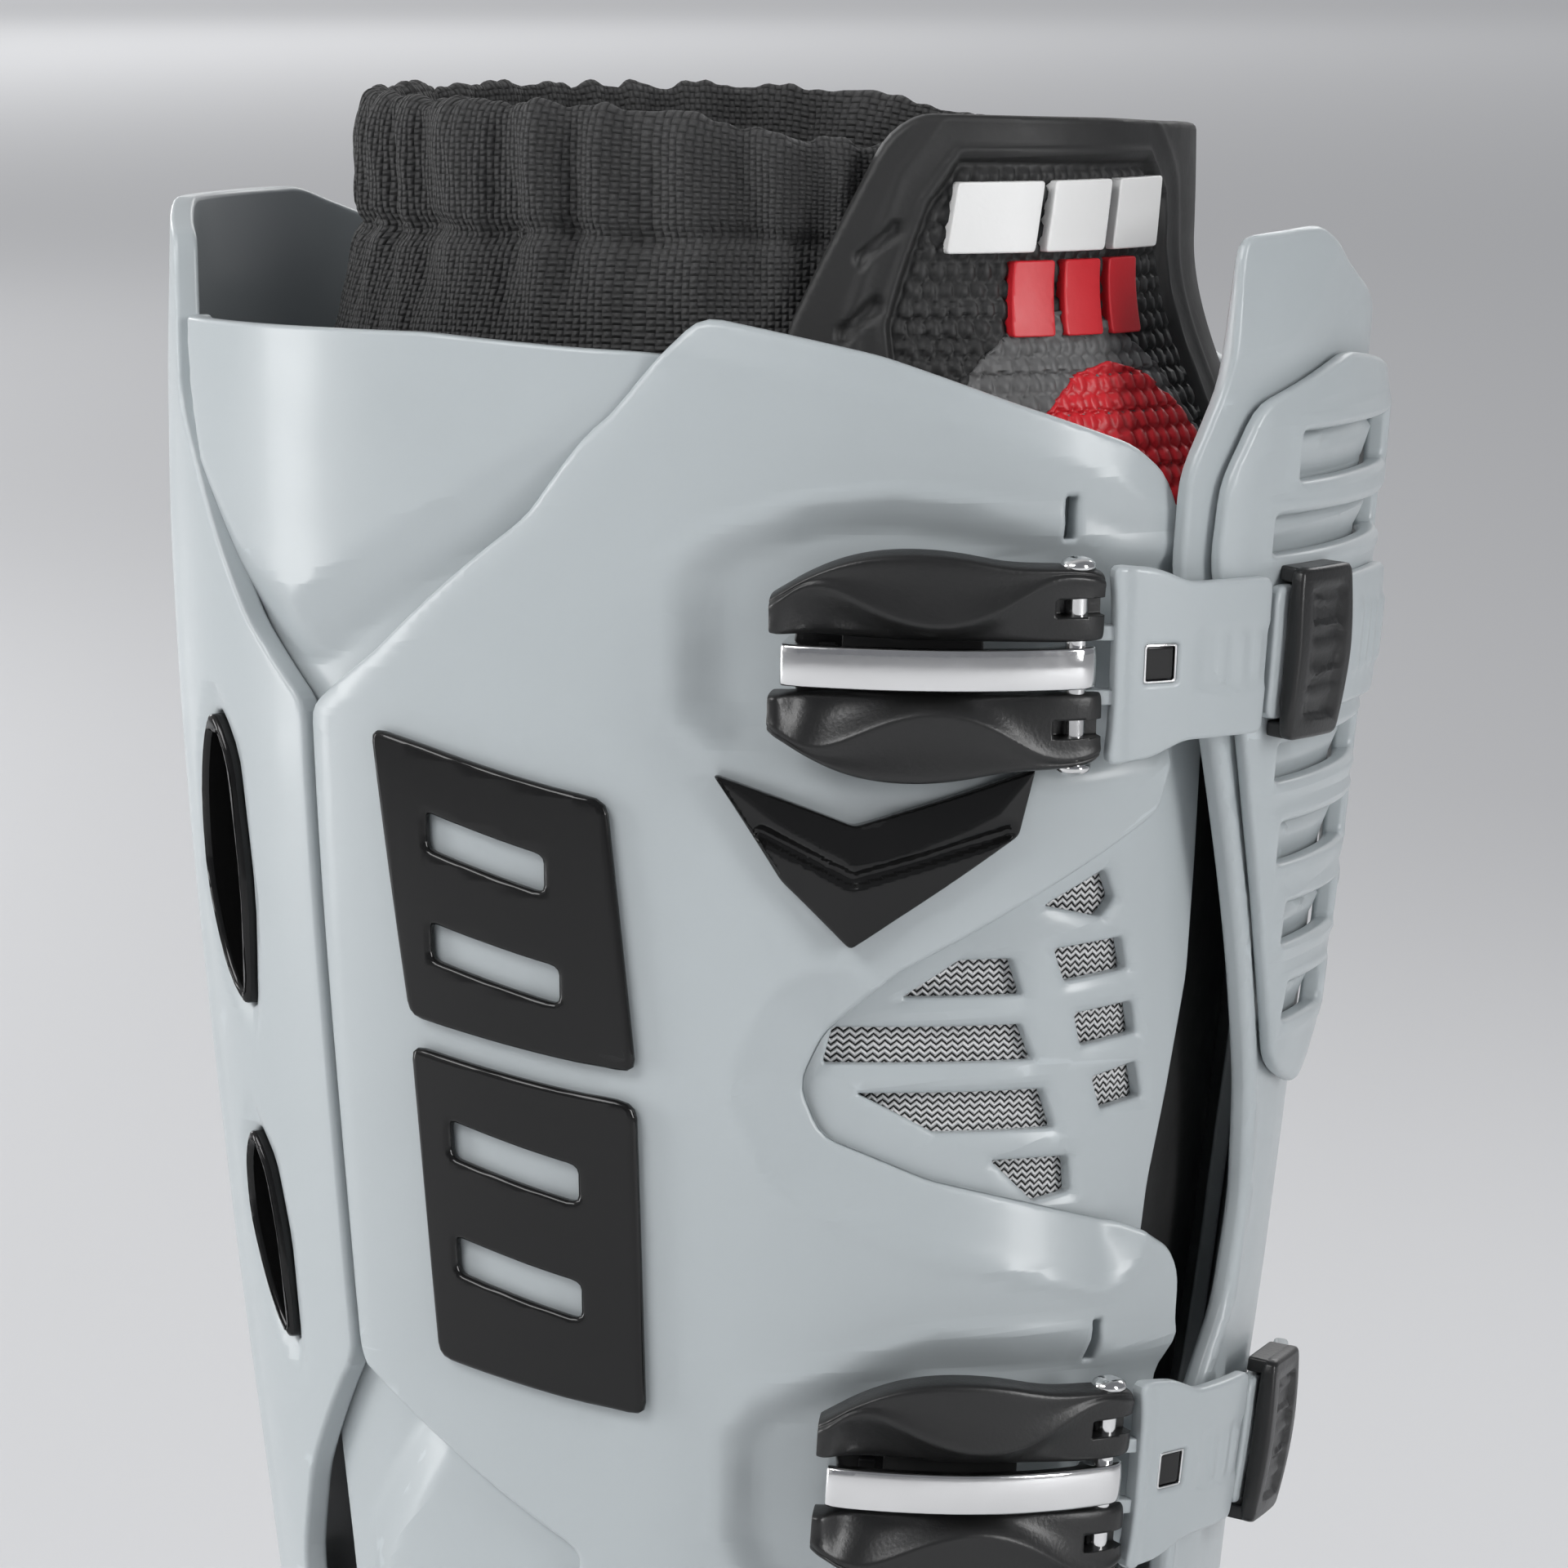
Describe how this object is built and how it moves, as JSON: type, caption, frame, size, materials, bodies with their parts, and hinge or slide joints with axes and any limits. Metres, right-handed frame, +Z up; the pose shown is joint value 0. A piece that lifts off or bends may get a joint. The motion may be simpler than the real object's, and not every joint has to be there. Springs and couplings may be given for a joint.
{
  "type": "motocross boot",
  "caption": "Tall motorcycle riding boot for the right foot with hinged ankle, opening shin plate, lever buckles on straps, ribbed shin guard, vented calf shells and elastic collar.",
  "frame": {"origin": "on the ground under the ankle hinge, midway between the two ankle bolts", "axes": "+X to the toe, +Y to the inner (medial) side, +Z up the leg; the outer side with the levers faces -Y"},
  "size_m": [0.317, 0.1292, 0.42],
  "materials": {
    "grey_plastic": "semi-gloss moulded, cool light grey",
    "black_plastic": "satin, finely grained",
    "black_rubber": "matt, embossed",
    "black_fabric": "coarse elastic weave",
    "grey_mesh": "open zig-zag knit",
    "red_rubber": "raised rubber print",
    "steel": "polished",
    "sole_rubber": "matt, block tread"
  },
  "bodies": {
    "foot": {"outsole": "sole_rubber", "sole_insert": "black_rubber", "sole_chassis": "grey_plastic", "footbed": "black_fabric", "foot_shell": "grey_plastic", "toe_cap": "grey_plastic", "toe_guard": "black_plastic", "heel_cup": "grey_plastic", "instep_plate": "grey_plastic", "ankle_bellows": "black_rubber", "ankle_bolt_outer": "steel", "ankle_bolt_inner": "steel", "strap_tail_3": "grey_plastic", "strap_tail_4": "grey_plastic", "catch_3": "black_plastic", "catch_4": "black_plastic"},
    "shaft": {"leg_lining": "black_fabric", "elastic_collar": "black_fabric", "tongue": "black_rubber", "tongue_emblem": "red_rubber", "calf_plate_outer": "grey_plastic", "calf_plate_inner": "grey_plastic", "side_shell_outer": "grey_plastic", "side_shell_inner": "grey_plastic", "air_mesh": "grey_mesh", "spine_plate": "grey_plastic", "air_duct_outer": "black_plastic", "air_duct_inner": "black_plastic", "badge_upper": "black_plastic", "badge_lower": "black_plastic", "chevron": "black_plastic", "burn_guard": "black_rubber", "catch_1": "black_plastic", "catch_2": "black_plastic"},
    "shin": {"shin_plate": "grey_plastic", "shin_guard": "grey_plastic", "strap_tail_1": "grey_plastic", "strap_tail_2": "grey_plastic"},
    "strap_1": {"strap_1": "grey_plastic", "pin_1": "steel"},
    "lever_1": {"lever_1": "black_plastic"},
    "hook_1": {"hook_1": "steel"},
    "latch_1": {"latch_1": "black_plastic"},
    "strap_2": {"strap_2": "grey_plastic", "pin_2": "steel"},
    "lever_2": {"lever_2": "black_plastic"},
    "hook_2": {"hook_2": "steel"},
    "latch_2": {"latch_2": "black_plastic"},
    "strap_3": {"strap_3": "grey_plastic", "pin_3": "steel"},
    "lever_3": {"lever_3": "black_plastic"},
    "hook_3": {"hook_3": "steel"},
    "latch_3": {"latch_3": "black_plastic"},
    "strap_4": {"strap_4": "grey_plastic", "pin_4": "steel"},
    "lever_4": {"lever_4": "black_plastic"},
    "hook_4": {"hook_4": "steel"},
    "latch_4": {"latch_4": "black_plastic"}
  },
  "joints": [
    {"name": "ankle_flex", "type": "hinge", "parent": "foot", "child": "shaft", "pos_m": [0, 0, 0.108], "axis": [0, 1, 0], "range_deg": [-8, 20], "deforming": ["ankle_bellows"]},
    {"name": "shin_open", "type": "hinge", "parent": "shaft", "child": "shin", "pos_m": [0.05918, 0.04149, 0.308], "axis": [0.0908, 0.0388, 0.9951], "range_deg": [0, 30]},
    {"name": "strap_1_swing", "type": "hinge", "parent": "shin", "child": "strap_1", "pos_m": [0.08115, -0.02699, 0.3449], "axis": [0.0879, -0.0363, 0.9955], "range_deg": [0, 60]},
    {"name": "lever_1_open", "type": "hinge", "parent": "strap_1", "child": "lever_1", "pos_m": [0.06149, -0.05005, 0.345], "axis": [0.0418, -0.0573, 0.9975], "range_deg": [0, 100]},
    {"name": "hook_1_swing", "type": "hinge", "parent": "lever_1", "child": "hook_1", "pos_m": [0.06149, -0.05005, 0.345], "axis": [0.0418, -0.0573, 0.9975], "range_deg": [0, 25]},
    {"name": "latch_1_lift", "type": "hinge", "parent": "shin", "child": "latch_1", "pos_m": [0.08536, -0.01275, 0.34486], "axis": [0.0987, -0.0139, 0.995], "range_deg": [0, 30]},
    {"name": "strap_2_swing", "type": "hinge", "parent": "shin", "child": "strap_2", "pos_m": [0.0723, -0.00698, 0.23386], "axis": [0.1404, -0.0098, 0.99], "range_deg": [0, 60]},
    {"name": "lever_2_open", "type": "hinge", "parent": "strap_2", "child": "lever_2", "pos_m": [0.06106, -0.03538, 0.234], "axis": [0.0952, -0.0734, 0.9927], "range_deg": [0, 100]},
    {"name": "hook_2_swing", "type": "hinge", "parent": "lever_2", "child": "hook_2", "pos_m": [0.06106, -0.03538, 0.234], "axis": [0.0952, -0.0734, 0.9927], "range_deg": [0, 25]},
    {"name": "latch_2_lift", "type": "hinge", "parent": "shin", "child": "latch_2", "pos_m": [0.07262, 0.00791, 0.2338], "axis": [0.1402, 0.0115, 0.9901], "range_deg": [0, 30]},
    {"name": "strap_3_swing", "type": "hinge", "parent": "foot", "child": "strap_3", "pos_m": [0.06454, -0.01472, 0.13382], "axis": [-0.5813, -0.1036, 0.8071], "range_deg": [0, 45]},
    {"name": "lever_3_open", "type": "hinge", "parent": "strap_3", "child": "lever_3", "pos_m": [0.05693, -0.03987, 0.11896], "axis": [-0.8787, -0.0633, 0.4732], "range_deg": [0, 100]},
    {"name": "hook_3_swing", "type": "hinge", "parent": "lever_3", "child": "hook_3", "pos_m": [0.05693, -0.03987, 0.11896], "axis": [-0.8787, -0.0633, 0.4732], "range_deg": [0, 25]},
    {"name": "latch_3_lift", "type": "hinge", "parent": "foot", "child": "latch_3", "pos_m": [0.06547, 0.00081, 0.13518], "axis": [-0.5342, 0.0016, 0.8454], "range_deg": [0, 30]},
    {"name": "strap_4_swing", "type": "hinge", "parent": "foot", "child": "strap_4", "pos_m": [0.10101, -0.01596, 0.10455], "axis": [-0.8793, -0.0482, 0.4739], "range_deg": [0, 45]},
    {"name": "lever_4_open", "type": "hinge", "parent": "strap_4", "child": "lever_4", "pos_m": [0.10001, -0.04454, 0.09345], "axis": [-0.9609, -0.1389, 0.2396], "range_deg": [0, 100]},
    {"name": "hook_4_swing", "type": "hinge", "parent": "lever_4", "child": "hook_4", "pos_m": [0.10001, -0.04454, 0.09345], "axis": [-0.9609, -0.1389, 0.2396], "range_deg": [0, 25]},
    {"name": "latch_4_lift", "type": "hinge", "parent": "foot", "child": "latch_4", "pos_m": [0.10126, -0.00052, 0.10555], "axis": [-0.8724, 0.0012, 0.4889], "range_deg": [0, 30]}
  ]
}
